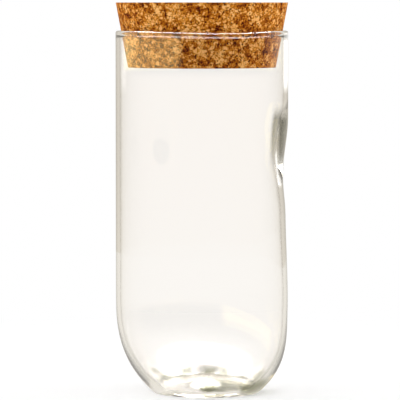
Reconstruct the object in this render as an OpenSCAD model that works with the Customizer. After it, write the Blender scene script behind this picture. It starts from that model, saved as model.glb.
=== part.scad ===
// Storage jar of blown glass with a straight side, closed by a tapered stopper of pressed cork.
// Millimetres, +Z up. The origin is the middle of the foot, on the surface that the jar stands on.
// The grip dent faces +X.

/* [Glass] */
// Outside diameter of the straight side
glass_d = 100; // [80:1:120]
// Height of the glass from its foot to the top of its rim
glass_h = 210; // [180:1:260]
// Thickness of the straight side
wall = 2.4; // [1.8:0.1:3.6]

/* [Rim] */
// How far the fire-polished bead of the rim stands in from the wall
lip_bead = 0.6; // [0.3:0.1:1.5]
// Height of the bead
lip_h = 4.2; // [3.4:0.1:8]
// Width of the flat land on top of the rim
lip_land = 0.4; // [0.2:0.1:1]

/* [Heel and foot] */
// Height at which the side starts to draw in
heel_h = 72; // [50:1:90]
// How late the side draws in: larger keeps it straight for longer
heel_bend = 4.35; // [3:0.05:6]
// Outside diameter of the flat ring that the jar stands on
foot_d = 61; // [50:1:70]
// Width of that ring
foot_w = 4; // [2:0.5:8]
// Height of the hollow under the base, at its middle
punt_h = 4.6; // [2:0.1:8]
// Thickness of the base at its middle
base_t = 4.2; // [3:0.1:7]
// Thickness of the base over the ring
ring_t = 3.6; // [2.6:0.1:6]

/* [Grip dent] */
// Depth of the thumb dent in the side
dent_depth = 3; // [1.5:0.1:4.5]
// Height of its middle above the foot
dent_z = 132; // [115:1:145]
// Height over which it runs out into the side
dent_h = 52; // [36:1:64]
// How far the thick spot behind the dent stands in from the wall
knot_in = 3.8; // [3:0.1:6]
// Height of the thick spot above the foot
knot_z = 147; // [130:1:155]
// Height over which the thick spot runs out
knot_h = 34; // [20:1:44]

/* [Stopper] */
// Height of the cork above the rim
cork_above = 16.3; // [8:0.1:30]
// Depth of the cork below the top of the rim
cork_below = 21.2; // [10:0.1:40]
// Taper of its side, in degrees from upright
cork_taper = 10.7; // [4:0.1:14]
// Rounding of its two edges
cork_edge = 0.8; // [0.3:0.1:2]
// Clearance between the cork and the bead of the rim
fit_gap = 0.25; // [0.2:0.05:0.6]

/* [Hidden] */
// Facets in a full turn, and steps in a curved stretch of an outline
turn = 128;
steps = 18;
// How far a cutting body reaches past what it cuts
past = 2;

glass_r = glass_d / 2;
bore_r = glass_r - wall;
mouth_r = bore_r - lip_bead;
foot_r = foot_d / 2;
// Radius of the bead's round top, and the height of its narrowest ring, where the cork seats
lip_r = (glass_r - mouth_r - lip_land) / 2;
seat_z = glass_h - lip_r;
// The lowest ring inside the jar lies over the middle of the foot's flat ring
valley_r = foot_r - foot_w / 2;
// Balls whose faces are the dent and the thick spot behind it
dent_r = ball_r(dent_depth, dent_h);
knot_r = ball_r(knot_in, knot_h);
dent_x = glass_r - dent_depth + dent_r;
knot_x = bore_r - knot_in + knot_r;
// The cork is as wide as the bead lets it be where it seats, and its taper gives both ends
cork_top_z = glass_h + cork_above;
cork_low_z = glass_h - cork_below;
cork_seat_r = mouth_r - fit_gap;
cork_top_r = cork_seat_r + (cork_top_z - seat_z) * tan(cork_taper);
cork_low_r = cork_seat_r - (seat_z - cork_low_z) * tan(cork_taper);

// Radius of the ball that sinks `depth` into a flat wall over a circle `across` wide
function ball_r(depth, across) = (across * across / 4 + depth * depth) / (2 * depth);

// Points of an arc of radius r about (x, z), from angle a to angle b
function arc(x, z, r, a, b) =
    [for (i = [0:steps]) let (t = a + (b - a) * i / steps) [x + r * cos(t), z + r * sin(t)]];

// Points from the straight side, down round the heel, to the radius `low_r`
function heel(side_r, top_z, low_r, low_z) =
    [for (i = [0:2 * steps])
        let (drop = i / (2 * steps))
        [side_r - (side_r - low_r) * pow(drop, heel_bend), top_z - (top_z - low_z) * drop]];

// Points of a soft dome from its rim at radius r and height z in to its middle, `rise` higher
function dome(r, z, rise) =
    [for (i = [1:steps]) let (t = i / steps) [r * (1 - t), z + rise * (1 - cos(180 * t)) / 2]];

// Points that widen the bead's narrowest ring back to the bore, going down
function under_bead() =
    [for (i = [1:steps]) let (t = i / steps)
        [mouth_r + lip_bead * (1 - cos(180 * t)) / 2, seat_z - (lip_h - lip_r) * t]];

// Outside of the glass as a solid, with the hollow under its base
module glass_outside() {
    rotate_extrude($fn = turn)
        polygon(concat(
            [[0, glass_h]],
            arc(glass_r - lip_r, seat_z, lip_r, 90, 0),
            heel(glass_r, heel_h, foot_r, 0),
            [[foot_r - foot_w, 0]],
            dome(foot_r - foot_w, 0, punt_h)
        ));
}

// Space inside the glass, with the domed floor and the bead of the rim
module glass_inside() {
    rotate_extrude($fn = turn)
        polygon(concat(
            [[0, glass_h + past], [mouth_r + lip_r, glass_h + past]],
            arc(mouth_r + lip_r, seat_z, lip_r, 90, 180),
            under_bead(),
            heel(bore_r, heel_h, valley_r, ring_t),
            dome(valley_r, ring_t, punt_h + base_t - ring_t)
        ));
}

// Ball whose near face is the dent, or with `grow` the inner face of the glass behind it
module dent_ball(grow = 0) {
    translate([dent_x, 0, dent_z]) sphere(r = dent_r + grow, $fn = turn);
}

module knot_ball() {
    translate([knot_x, 0, knot_z]) sphere(r = knot_r, $fn = turn);
}

module glass_jar() {
    color([0.90, 0.93, 0.88, 0.45])
        difference() {
            glass_outside();
            dent_ball();
            difference() {
                glass_inside();
                dent_ball(wall);
                knot_ball();
            }
        }
}

module cork_stopper() {
    // Each rounded edge turns through the angle between the cork's side and its flat end
    top_turn = 90 + cork_taper;
    low_turn = 90 - cork_taper;
    top_back = cork_edge * tan(top_turn / 2);
    low_back = cork_edge * tan(low_turn / 2);
    color([0.76, 0.54, 0.31])
        rotate_extrude($fn = turn)
            polygon(concat(
                [[0, cork_low_z]],
                arc(cork_low_r - low_back, cork_low_z + cork_edge, cork_edge, -90, -cork_taper),
                arc(cork_top_r - top_back, cork_top_z - cork_edge, cork_edge, -cork_taper, 90),
                [[0, cork_top_z]]
            ));
}

glass_jar();
cork_stopper();
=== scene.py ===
"""Storage jar of blown glass with a straight side, closed by a tapered stopper of pressed cork."""

from math import atan2, cos, hypot, pi, radians, sin, tau

import bmesh
import bpy
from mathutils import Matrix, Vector, noise


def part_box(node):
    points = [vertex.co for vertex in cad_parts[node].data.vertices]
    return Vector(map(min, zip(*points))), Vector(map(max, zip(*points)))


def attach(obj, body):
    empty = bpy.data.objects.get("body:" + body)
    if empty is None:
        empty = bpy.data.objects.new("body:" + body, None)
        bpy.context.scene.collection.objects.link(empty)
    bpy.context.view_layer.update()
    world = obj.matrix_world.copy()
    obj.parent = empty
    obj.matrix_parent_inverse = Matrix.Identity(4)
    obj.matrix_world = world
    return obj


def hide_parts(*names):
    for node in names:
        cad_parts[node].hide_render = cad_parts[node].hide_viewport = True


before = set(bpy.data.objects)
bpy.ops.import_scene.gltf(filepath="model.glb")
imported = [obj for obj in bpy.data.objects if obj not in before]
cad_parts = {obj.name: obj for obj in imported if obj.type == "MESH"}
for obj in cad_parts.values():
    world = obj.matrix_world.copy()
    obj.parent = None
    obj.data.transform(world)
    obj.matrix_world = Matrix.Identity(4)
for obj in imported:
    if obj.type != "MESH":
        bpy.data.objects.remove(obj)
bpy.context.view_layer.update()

MM = 0.001

# Sizes that the two pieces take from the frame
glass_low, glass_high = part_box("glass_jar")
cork_low, cork_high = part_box("cork_stopper")
GLASS_R = (glass_high[1] - glass_low[1]) / 2
GLASS_H = glass_high[2]
CORK_TOP_R = (cork_high[0] - cork_low[0]) / 2

# Glass: the straight side and the rim
WALL = 2.4 * MM
BORE_R = GLASS_R - WALL
LIP_BEAD = 0.6 * MM
LIP_H = 4.2 * MM
LIP_R = 1.3 * MM
MOUTH_R = BORE_R - LIP_BEAD
# Glass: the heel, the foot's flat ring and the domed base
HEEL_H = 72 * MM
HEEL_BEND = 4.35
FOOT_R = 30.5 * MM
FOOT_W = 4 * MM
RING_T = 3.6 * MM
PUNT_H = 4.6 * MM
BASE_T = 4.2 * MM
# Glass: steps round the jar, and along its side, heel, dome and rim
TURN = 240
SIDE_STEPS = 64
HEEL_STEPS = 40
DOME_STEPS = 18
RIM_STEPS = 12

# Glass: what hand work left on its side, each as a depth, the height of its middle, and how far it
# runs out below and above. The knot is a thick spot, on the inside only.
DENT = (1.9 * MM, 130 * MM, 27 * MM, 31 * MM)
FLAT = (1.5 * MM, 112 * MM, 62 * MM, 46 * MM)
KNOT = (1.3 * MM, 147 * MM, 27 * MM, 24 * MM)
# Glass: how far round from +X those three run out, in radians
DENT_REACH = 0.8
# Glass: the dip of the rim, the angle of its middle round the jar and how far it runs out on both
# sides, in radians, and how far down the side it reaches
DIP = 0.8 * MM
DIP_TURN = (-1.25, 1.1, 0.75)
DIP_H = 12 * MM
# Glass: how far the base sits off the axis and the height where that ends, then the share of it on
# the axis and how far out from there the share would grow by 1
BASE_OFF = 2.7 * MM
BASE_OFF_H = 50 * MM
BASE_OFF_SHARE = 0.6
BASE_OFF_R = 30 * MM

# Cork: its taper as a slope, and its rows and columns of facets
CORK_TAPER = 0.189
CORK_ROWS = 58
CORK_COLUMNS = 128
# Cork: noise sinks pits and grains into its surface. Scales are for a place in millimetres and
# depths are in millimetres, and noise below PIT_FROM makes no pit.
PIT_SCALE = 0.9
PIT_DEPTH = 0.9
PIT_FROM = 0.25
GRAIN_SCALE = 0.5
GRAIN_DEPTH = 0.05

# Colours of the glass: seen face on, painted shade where it is seen aslant, painted shade at the grip
# dent, painted shade streaks in its base, and in its depth. The three painted shades stand in for dark
# surroundings that clear glass would bend into view.
GLASS_CLEAR = (1, 0.988, 0.974)
GLASS_EDGE_SHADE = (0.1, 0.094, 0.076)
GLASS_DENT_SHADE = (0.04, 0.04, 0.027)
GLASS_BASE_SHADE = (0.3, 0.3, 0.2)
GLASS_DEPTH = (0.7, 0.66, 0.5)
# Colours of the cork, from bark to the palest grains
CORK_COLOURS = [
    (0.04, (0.045, 0.004, 0.001)),
    (0.18, (0.17, 0.03, 0.002)),
    (0.34, (0.31, 0.07, 0.003)),
    (0.5, (0.46, 0.13, 0.007)),
    (0.66, (0.62, 0.215, 0.018)),
    (0.82, (0.77, 0.32, 0.045)),
    (0.96, (0.92, 0.5, 0.16)),
]

# Colours of the room: what stands behind the jar, and what the glass mirrors
WHITE = (1, 1, 1)
FLOOR_GREY = (0.9, 0.9, 0.9)
MIRRORED_FLOOR = (0.84, 0.81, 0.75)
MIRRORED_LOW = (0.78, 0.74, 0.66)
MIRRORED_HIGH = (1.1, 1.1, 1.1)
MIRRORED_LAMP = (24, 23.5, 22.5)
MIRRORED_BACK = (0.68, 0.64, 0.57)
MIRRORED_FRONT = (0.02, 0.02, 0.02)
MIRRORED_FRONT_LOW = (0.8, 0.7, 0.6)
LEFT_PANEL = (2.0, 1.75, 0.85)
RIGHT_PANEL = (1.5, 1.48, 1.44)
# How far up a direction goes where the mirrored room changes. All three are fitted to the camera of
# the photograph: its line of sight to the cork's bottom, and where the two panels' reflections end.
FRONT_DARK_TO = (-0.0185, -0.0225)
LEFT_PANEL_FROM = (-0.0205, -0.0185)
RIGHT_PANEL_FROM = (-0.0275, -0.0225)

# The camera stands level with the cork's top and looks down a little
CAMERA_AWAY = 1.9
CAMERA_H = 0.2245
AIM_H = 0.1118
AIM_X = -0.0011
LENS = 295


class Wire:
    """One output of a node. Python's operators on it add Math nodes."""

    def __init__(self, nodes, socket):
        self.nodes = nodes
        self.socket = socket

    def maths(self, operation, *values):
        return self.nodes.add("ShaderNodeMath", {"operation": operation}, dict(enumerate(values)))

    def __add__(self, other):
        return self.maths("ADD", self, other)

    def __radd__(self, other):
        return self.maths("ADD", other, self)

    def __sub__(self, other):
        return self.maths("SUBTRACT", self, other)

    def __rsub__(self, other):
        return self.maths("SUBTRACT", other, self)

    def __mul__(self, other):
        return self.maths("MULTIPLY", self, other)

    def __rmul__(self, other):
        return self.maths("MULTIPLY", other, self)

    def __gt__(self, other):
        return self.maths("GREATER_THAN", self, other)

    def __lt__(self, other):
        return self.maths("LESS_THAN", self, other)


class Nodes:
    """The nodes of one material or of the world."""

    def __init__(self, owner):
        owner.use_nodes = True
        self.tree = owner.node_tree
        self.tree.nodes.clear()

    def add(self, kind, settings=None, sockets=None, out=0):
        """Adds a node: its settings and its ramp's stops, then its sockets' values and links."""
        node = self.tree.nodes.new(kind)
        for name, value in (settings or {}).items():
            if name == "stops":
                self.set_stops(node.color_ramp, value)
            else:
                setattr(node, name, value)
        for name, value in (sockets or {}).items():
            if isinstance(value, Wire):
                self.tree.links.new(value.socket, node.inputs[name])
            else:
                node.inputs[name].default_value = value
        return Wire(self, node.outputs[out]) if node.outputs else None

    def set_stops(self, ramp, stops):
        while len(ramp.elements) < len(stops):
            ramp.elements.new(1)
        for element, (place, colour) in zip(ramp.elements, stops):
            element.position = place
            element.color = (*colour, 1)

    def outputs(self, wire, *names):
        """Other outputs of the node that a wire comes from."""
        return [Wire(self, wire.socket.node.outputs[name]) for name in names]

    def mix(self, share, first, second, way="MIX"):
        """Mixes two colours, each a wire or three numbers."""
        colours = [c if isinstance(c, Wire) else (*c, 1) for c in (first, second)]
        return self.add(
            "ShaderNodeMix",
            {"data_type": "RGBA", "blend_type": way},
            {0: share, 6: colours[0], 7: colours[1]},
            out=2,
        )

    def step(self, value, low, high):
        """Rises smoothly from 0 to 1 as a value goes from low to high."""
        return self.add(
            "ShaderNodeMapRange",
            {"interpolation_type": "SMOOTHSTEP"},
            {"Value": value, "From Min": low, "From Max": high},
        )


def bell(value, middle, below, above):
    """1 at the middle, falling softly to 0 at a distance below it and a distance above it."""
    reach = (value - middle) / (above if value > middle else below)
    return (1 + cos(pi * reach)) / 2 if abs(reach) < 1 else 0


def arc(x, z, r, start, end, steps):
    """Points of an arc, its angles in degrees."""
    turns = [radians(start + (end - start) * i / steps) for i in range(steps + 1)]
    return [(x + r * cos(t), z + r * sin(t)) for t in turns]


def heel(side_r, low_r, low_z):
    """Points from the straight side, down round the heel, to the radius low_r."""
    points = []
    for i in range(HEEL_STEPS + 1):
        drop = i / HEEL_STEPS
        points.append((side_r - (side_r - low_r) * drop**HEEL_BEND, HEEL_H - (HEEL_H - low_z) * drop))
    return points


def dome(r, z, rise):
    """Points of a soft dome from its rim to its middle on the axis."""
    steps = [i / DOME_STEPS for i in range(1, DOME_STEPS + 1)]
    return [(r * (1 - t), z + rise * (1 - cos(pi * t)) / 2) for t in steps]


def side(r, top, bottom):
    """Points down a straight side, without its two ends."""
    return [(r, top + (bottom - top) * i / SIDE_STEPS) for i in range(1, SIDE_STEPS)]


def under_bead():
    """Points that widen the bead's narrowest ring back to the bore, going down."""
    seat = GLASS_H - LIP_R
    steps = [i / RIM_STEPS for i in range(1, RIM_STEPS + 1)]
    return [(MOUTH_R + LIP_BEAD * (1 - cos(pi * t)) / 2, seat - (LIP_H - LIP_R) * t) for t in steps]


def glass_outline():
    """Half of the jar's section, from the middle of the floor inside to the middle underneath."""
    seat = GLASS_H - LIP_R
    inside = arc(MOUTH_R + LIP_R, seat, LIP_R, 90, 180, RIM_STEPS)
    inside += under_bead()
    inside += side(BORE_R, GLASS_H - LIP_H, HEEL_H)
    inside += heel(BORE_R, FOOT_R - FOOT_W / 2, RING_T)
    inside += dome(FOOT_R - FOOT_W / 2, RING_T, PUNT_H + BASE_T - RING_T)
    outside = arc(GLASS_R - LIP_R, seat, LIP_R, 90, 0, RIM_STEPS)
    outside += side(GLASS_R, seat, HEEL_H)
    outside += heel(GLASS_R, FOOT_R, 0)
    outside += [(FOOT_R - FOOT_W / 2, 0), (FOOT_R - FOOT_W, 0)]
    outside += dome(FOOT_R - FOOT_W, 0, PUNT_H)
    return inside[::-1] + outside


def piece(name, mesh, finish, body, node):
    """Makes a finished mesh an object that stands for a node of the frame and moves with its body."""
    for face in mesh.faces:
        face.smooth = True
    data = bpy.data.meshes.new(name)
    mesh.to_mesh(data)
    mesh.free()
    data.materials.append(finish)
    made = bpy.data.objects.new(name, data)
    bpy.context.scene.collection.objects.link(made)
    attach(made, body)
    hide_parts(node)


def hollow(z, depth, middle, below, above):
    """How deep a hollow in the side is at the height z."""
    return depth * bell(z, middle, below, above)


def hand_worked(point):
    """Moves a point of the turned glass to where the glassmaker's tools and breath left it."""
    r, z = hypot(point.x, point.y), point.z
    turn = atan2(point.y, point.x)
    out = Vector((cos(turn), sin(turn), 0))
    outer = r > (GLASS_R + BORE_R) / 2 or z < PUNT_H
    # The grip dent, the long flat that runs down from it, and the thick spot behind it
    knot = 0 if outer else hollow(z, *KNOT)
    inward = bell(turn, 0, DENT_REACH, DENT_REACH) * (hollow(z, *DENT) + hollow(z, *FLAT) + knot)
    moved = point - out * inward
    # The rim dips a little in front, to the right of its middle
    moved.z -= DIP * bell(turn, *DIP_TURN) * bell(z, GLASS_H, DIP_H, DIP_H)
    # The base sits off the axis
    share = min(1, r / BASE_OFF_R + BASE_OFF_SHARE)
    moved.x += BASE_OFF * bell(z, 0, 1, BASE_OFF_H) * share
    return moved


def glass_jar(finish):
    mesh = bmesh.new()
    corners = [mesh.verts.new((r, 0, z)) for r, z in glass_outline()]
    edges = [mesh.edges.new(pair) for pair in zip(corners, corners[1:])]
    bmesh.ops.spin(
        mesh,
        geom=corners + edges,
        cent=(0, 0, 0),
        axis=(0, 0, 1),
        angle=tau,
        steps=TURN,
        use_merge=True,
    )
    bmesh.ops.remove_doubles(mesh, verts=mesh.verts, dist=0.01 * MM)
    for corner in mesh.verts:
        corner.co = hand_worked(corner.co)
    bmesh.ops.recalc_face_normals(mesh, faces=mesh.faces)
    piece("blown_glass_jar", mesh, finish, "jar", "glass_jar")


def cork_surface(corner):
    """Bends a corner of a cube two units across to the stopper's shape."""
    ring = max(abs(corner.x), abs(corner.y))
    top, low = cork_high[2], cork_low[2]
    z = low + (top - low) * (corner.z + 1) / 2
    if ring < 1e-6:
        return Vector((0, 0, z))
    # Square rings become round ones, with their corners evenly spaced
    if abs(corner.x) >= abs(corner.y):
        turn = pi / 4 * corner.y / corner.x + (pi if corner.x < 0 else 0)
    else:
        turn = pi / 2 - pi / 4 * corner.x / corner.y + (pi if corner.y < 0 else 0)
    r = ring * (CORK_TOP_R - (top - z) * CORK_TAPER)
    return Vector((r * cos(turn), r * sin(turn), z))


def cork_stopper(finish):
    mesh = bmesh.new()
    bmesh.ops.create_cube(mesh, size=2)
    upright = [e for e in mesh.edges if abs(e.verts[0].co.z - e.verts[1].co.z) > 1]
    bmesh.ops.subdivide_edges(mesh, edges=upright, cuts=CORK_ROWS - 1, use_grid_fill=True)
    level = [e for e in mesh.edges if abs(e.verts[0].co.z - e.verts[1].co.z) < 0.001]
    bmesh.ops.subdivide_edges(mesh, edges=level, cuts=CORK_COLUMNS - 1, use_grid_fill=True)
    for corner in mesh.verts:
        corner.co = cork_surface(corner.co)
    bmesh.ops.recalc_face_normals(mesh, faces=mesh.faces)
    mesh.normal_update()
    for corner in mesh.verts:
        place = corner.co / MM
        pit = max(0, noise.noise(place * PIT_SCALE) - PIT_FROM) * PIT_DEPTH
        grain = GRAIN_DEPTH + GRAIN_DEPTH * noise.noise(place * GRAIN_SCALE)
        corner.co -= corner.normal * (pit + grain) * MM
    piece("pressed_cork_stopper", mesh, finish, "stopper", "cork_stopper")


def new_material(name):
    made = bpy.data.materials.new(name)
    return made, Nodes(made)


def blown_glass():
    made, nodes = new_material("blown_glass")
    # Painted shade: the glass darkens towards its edges, where it is seen aslant, in place of dark
    # surroundings bent into view
    facing = nodes.add("ShaderNodeLayerWeight", {}, {"Blend": 0.5}, out="Facing")
    edge = nodes.step(facing, 0.74, 0.96)
    tint = nodes.mix(edge, GLASS_CLEAR, GLASS_EDGE_SHADE)
    # Painted shade at the grip dent, which shows only aslant: a dark streak in place of dark
    # surroundings that the dent bends into view
    place = nodes.add("ShaderNodeTexCoord", out="Object")
    x = nodes.add("ShaderNodeSeparateXYZ", {}, {0: place})
    z = nodes.outputs(x, "Z")[0]
    tall = nodes.step(z, 124 * MM, 140 * MM) * nodes.step(z, 168 * MM, 158 * MM)
    dent_shade = nodes.step(x, 42 * MM, 45 * MM) * tall * nodes.step(facing, 0.4, 0.6)
    tint = nodes.mix(dent_shade, tint, GLASS_DENT_SHADE)
    # Painted shade: olive streaks in the thick glass of the base, in place of dark surroundings seen
    # bent through it
    base_shade_noise = nodes.add("ShaderNodeTexNoise", {}, {"Vector": place, "Scale": 45, "Detail": 2})
    base_shade = nodes.step(z, 10 * MM, 6 * MM) * nodes.step(base_shade_noise, 0.5, 0.62)
    tint = nodes.mix(base_shade, tint, GLASS_BASE_SHADE)
    glass = nodes.add(
        "ShaderNodeBsdfPrincipled",
        {},
        {"Base Color": tint, "Roughness": 0, "IOR": 1.5, "Transmission Weight": 1},
    )
    depth = nodes.add("ShaderNodeVolumeAbsorption", {}, {"Color": (*GLASS_DEPTH, 1), "Density": 9})
    nodes.add("ShaderNodeOutputMaterial", {}, {"Surface": glass, "Volume": depth})
    return made


def pressed_cork():
    made, nodes = new_material("pressed_cork")
    place = nodes.add("ShaderNodeTexCoord", out="Object")
    mm = nodes.add("ShaderNodeVectorMath", {"operation": "SCALE"}, {0: place, "Scale": 1000})
    drift = nodes.add("ShaderNodeTexNoise", {}, {"Vector": mm, "Scale": 0.9, "Detail": 3}, out="Color")
    shove = nodes.add(
        "ShaderNodeVectorMath", {"operation": "MULTIPLY_ADD"}, {0: drift, 1: (1.5,) * 3, 2: mm}
    )
    grains = nodes.add("ShaderNodeTexVoronoi", {}, {"Vector": shove, "Scale": 0.42}, out="Color")
    crumbs = nodes.add("ShaderNodeTexVoronoi", {}, {"Vector": shove, "Scale": 0.95}, out="Color")
    joint = nodes.add(
        "ShaderNodeTexVoronoi", {"feature": "DISTANCE_TO_EDGE"}, {"Vector": shove, "Scale": 0.42}
    )
    flecks = nodes.add("ShaderNodeTexVoronoi", {}, {"Vector": shove, "Scale": 0.65})
    grain = nodes.add("ShaderNodeSeparateColor", {}, {0: grains})
    crumb = nodes.add("ShaderNodeSeparateColor", {}, {0: crumbs})
    clouds = nodes.add("ShaderNodeTexNoise", {}, {"Vector": mm, "Scale": 0.12, "Detail": 2})
    fine = nodes.add("ShaderNodeTexNoise", {}, {"Vector": mm, "Scale": 1.6, "Detail": 3})
    # Dark: the joints between grains where the cork isn't plain, and some open pores
    plain = nodes.step(fine + 0.4 * clouds, 0.74, 0.62)
    seam = nodes.step(joint, 0.11, 0.02) * (1 - plain)
    pore = nodes.step(flecks, 0.42, 0.26) * (nodes.outputs(crumb, "Green")[0] > 0.6)
    tone = 0.26 * grain + 0.24 * crumb + 0.8 * clouds + 0.6 * fine - 0.37
    tone = 2.15 * tone - 0.55 - 0.6 * seam - 1.4 * pore
    colour = nodes.add("ShaderNodeValToRGB", {"stops": CORK_COLOURS}, {0: tone})
    bump = nodes.add("ShaderNodeBump", {}, {"Strength": 0.4, "Distance": 0.0003, "Height": tone})
    cork = nodes.add(
        "ShaderNodeBsdfPrincipled",
        {},
        {"Base Color": colour, "Roughness": 0.85, "Normal": bump, "Specular IOR Level": 0.05},
    )
    nodes.add("ShaderNodeOutputMaterial", {}, {"Surface": cork})
    return made


def floor():
    """A pale floor that reads as white and keeps the jar's shadow."""
    made, nodes = new_material("pale_floor")
    path = nodes.add("ShaderNodeLightPath")
    plain = nodes.add("ShaderNodeBsdfDiffuse", {}, {"Color": (*FLOOR_GREY, 1)})
    glow = nodes.add("ShaderNodeEmission", {}, {"Color": (*WHITE, 1), "Strength": 0.3})
    lifted = nodes.add("ShaderNodeAddShader", {}, {0: plain, 1: glow})
    place = nodes.add("ShaderNodeTexCoord", out="Object")
    away = nodes.add("ShaderNodeVectorMath", {"operation": "LENGTH"}, {0: place}, out="Value")
    diffuse_depth, glossy_depth = nodes.outputs(path, "Diffuse Depth", "Glossy Depth")
    mirrored = glossy_depth > 0.5
    # Far out, the floor has the background's colour, and what the glass mirrors of it is dim
    colour = nodes.mix(mirrored, WHITE, MIRRORED_FLOOR)
    far_glow = nodes.add("ShaderNodeEmission", {}, {"Color": colour, "Strength": 1})
    far = 1 - (1 - nodes.step(away, 0.12, 0.45)) * (1 - mirrored)
    both = nodes.add("ShaderNodeMixShader", {}, {0: far, 1: lifted, 2: far_glow})
    both = nodes.add("ShaderNodeMixShader", {}, {0: diffuse_depth > 0.5, 1: both, 2: plain})
    nodes.add("ShaderNodeOutputMaterial", {}, {"Surface": both})
    mesh = bmesh.new()
    bmesh.ops.create_circle(mesh, cap_ends=True, radius=1.1, segments=96)
    data = bpy.data.meshes.new("floor")
    mesh.to_mesh(data)
    mesh.free()
    data.materials.append(made)
    plane = bpy.data.objects.new("floor", data)
    bpy.context.scene.collection.objects.link(plane)


def studio():
    """The world: what the glass shows, what it mirrors, and the light on the cork and the floor."""
    world = bpy.data.worlds.new("studio")
    bpy.context.scene.world = world
    nodes = Nodes(world)
    path = nodes.add("ShaderNodeLightPath")
    through, diffuse_depth, glossy_depth = nodes.outputs(
        path, "Is Transmission Ray", "Diffuse Depth", "Glossy Depth"
    )
    way = nodes.add("ShaderNodeTexCoord", out="Generated")
    x = nodes.add("ShaderNodeSeparateXYZ", {}, {0: way})
    y, z = nodes.outputs(x, "Y", "Z")
    # A direction's x is how far it goes to the right, y how far away from the viewer, z how far up
    # Light: soft, stronger from the two sides than from the front, and made up for what the glass keeps
    above = nodes.step(z, -0.05, 0.05)
    light = (0.72 + above * (2 * x * x - 0.34)) * (1 + 1.1 * through)
    # Mirrored: a lamp and white overhead, and a dim band round the horizon, darkest in front
    high = nodes.step(z, 0.15, 0.6)
    low = nodes.step(z, -0.04, -0.1)
    front = nodes.mix(nodes.step(z, *FRONT_DARK_TO), MIRRORED_FRONT, MIRRORED_FRONT_LOW)
    band = nodes.mix(nodes.step(y, -0.2, 0.6), front, MIRRORED_BACK)
    room = nodes.mix(high, nodes.mix(low, band, MIRRORED_LOW), MIRRORED_HIGH)
    room = nodes.mix(nodes.step(z, 0.55, 0.7), room, MIRRORED_LAMP)
    # Mirrored: a warm panel at the left, and a white one at the back right
    left = nodes.step(x, -0.4, -0.6) * nodes.step(y, 0.7, 0.5)
    left = left * nodes.step(z, *LEFT_PANEL_FROM) * (z < 0.1)
    right = nodes.step(x, 0.05, 0.25) * (x < 0.6) * nodes.step(y, 0.5, 0.7)
    right = right * nodes.step(z, *RIGHT_PANEL_FROM) * (z < 0.01)
    room = nodes.mix(left, room, LEFT_PANEL)
    room = nodes.mix(right, room, RIGHT_PANEL)
    mirrored = glossy_depth > 0.5
    shown = nodes.mix(mirrored, WHITE, room)
    lit = nodes.mix(1.0, WHITE, light, "MULTIPLY")
    colour = nodes.mix(diffuse_depth > 0.5, shown, lit)
    glow = nodes.add("ShaderNodeBackground", {}, {"Color": colour, "Strength": 1})
    nodes.add("ShaderNodeOutputWorld", {}, {"Surface": glow})


def camera():
    data = bpy.data.cameras.new("camera")
    data.lens = LENS
    data.sensor_width = 36
    made = bpy.data.objects.new("camera", data)
    bpy.context.scene.collection.objects.link(made)
    made.location = (0, -CAMERA_AWAY, CAMERA_H)
    aim = Vector((AIM_X, 0, AIM_H)) - made.location
    made.rotation_euler = aim.to_track_quat("-Z", "Y").to_euler()
    bpy.context.scene.camera = made


def render_settings():
    scene = bpy.context.scene
    scene.view_settings.view_transform = "Standard"
    scene.cycles.use_denoising = True
    scene.cycles.max_bounces = 32
    scene.cycles.transmission_bounces = 32
    scene.cycles.glossy_bounces = 16
    scene.cycles.diffuse_bounces = 4
    scene.cycles.caustics_reflective = True
    scene.cycles.caustics_refractive = True


camera()
studio()
floor()
glass_jar(blown_glass())
cork_stopper(pressed_cork())
render_settings()
